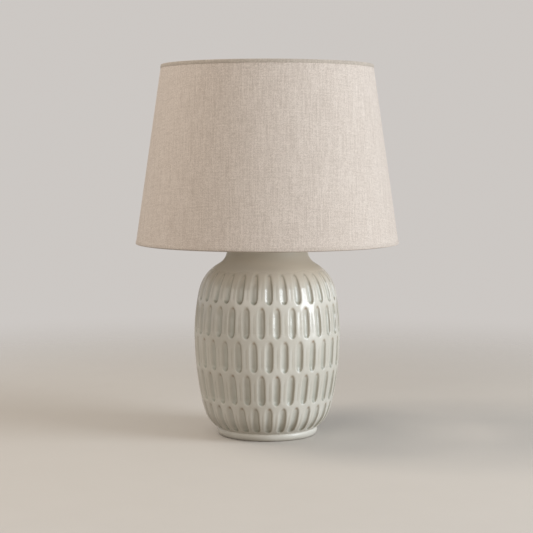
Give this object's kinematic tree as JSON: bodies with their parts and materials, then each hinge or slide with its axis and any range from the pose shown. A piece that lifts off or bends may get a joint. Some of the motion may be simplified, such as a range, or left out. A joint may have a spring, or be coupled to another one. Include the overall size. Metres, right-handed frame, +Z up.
{
  "type": "table lamp",
  "caption": "Table lamp: a hollow glazed ceramic jar with staggered carved flutes, a turn-knob bulb socket, and a tapered linen drum shade on a detachable harp.",
  "frame": {"origin": "centre of the felt pad's underside, where the lamp meets the table", "axes": "+Z up along the lamp's axis, -Y towards the front and the switch knob, +Y towards the cord outlet"},
  "size_m": [0.3567, 0.3568, 0.5003],
  "materials": {
    "glazed_ceramic": "gloss",
    "felt": "napped",
    "fibre_board": "matte",
    "rubber": "matte",
    "steel": "zinc plated",
    "brass": "satin",
    "phenolic": "moulded",
    "aluminium": "bright",
    "black_glass": "gloss",
    "bulb_white": "satin",
    "bulb_opal": "frosted",
    "shade_liner": "matte",
    "linen": "plain weave"
  },
  "bodies": {
    "base": {"ceramic_body": "glazed_ceramic", "felt_pad": "felt", "base_board": "fibre_board", "cord_grommet": "rubber", "nipple": "steel", "deck_washer": "steel", "lock_washer": "steel", "lower_nut": "steel", "neck_gasket": "rubber", "neck_cap": "brass", "upper_nut": "brass", "harp_saddle": "brass", "socket_cap": "brass", "set_screw": "steel", "socket_shell": "brass", "socket_insulator": "fibre_board", "switch_body": "phenolic", "terminal_screws": "brass", "screw_shell": "brass", "centre_contact": "brass"},
    "knob": {"switch_spindle": "brass", "switch_knob": "phenolic"},
    "bulb": {"bulb_tip": "brass", "bulb_insulator": "black_glass", "bulb_screw_cap": "aluminium", "bulb_housing": "bulb_white", "bulb_light_board": "aluminium", "bulb_globe": "bulb_opal"},
    "harp": {"harp_wire": "brass"},
    "sleeve_left": {"harp_sleeve_left": "brass"},
    "sleeve_right": {"harp_sleeve_right": "brass"},
    "swivel": {"harp_stud": "brass"},
    "shade": {"shade_spider": "brass", "shade_bottom_ring": "steel", "shade_liner": "shade_liner", "shade_linen": "linen", "shade_top_tape": "linen", "shade_bottom_tape": "linen"},
    "finial": {"finial_base": "brass", "finial_ball": "brass"}
  },
  "joints": [
    {"name": "switch_knob_turn", "type": "hinge", "parent": "base", "child": "knob", "pos_m": [0, -0.03, 0.30691], "axis": [0, -1, 0], "continuous": true},
    {"name": "bulb_withdraw", "type": "slide", "parent": "base", "child": "bulb", "axis": [0, 0, 1], "range_m": [0, 0.03]},
    {"name": "harp_lift", "type": "slide", "parent": "base", "child": "harp", "axis": [0, 0, 1], "range_m": [0, 0.14]},
    {"name": "sleeve_left_raise", "type": "slide", "parent": "harp", "child": "sleeve_left", "axis": [0, 0, 1], "range_m": [0, 0.014]},
    {"name": "sleeve_right_raise", "type": "slide", "parent": "harp", "child": "sleeve_right", "axis": [0, 0, 1], "range_m": [0, 0.014]},
    {"name": "shade_turn", "type": "hinge", "parent": "harp", "child": "swivel", "pos_m": [0, 0, 0.47281], "axis": [0, 0, 1], "continuous": true},
    {"name": "shade_lift", "type": "slide", "parent": "swivel", "child": "shade", "axis": [0, 0, 1], "range_m": [0, 0.24]},
    {"name": "finial_lift", "type": "slide", "parent": "shade", "child": "finial", "axis": [0, 0, 1], "range_m": [0, 0.03]}
  ]
}
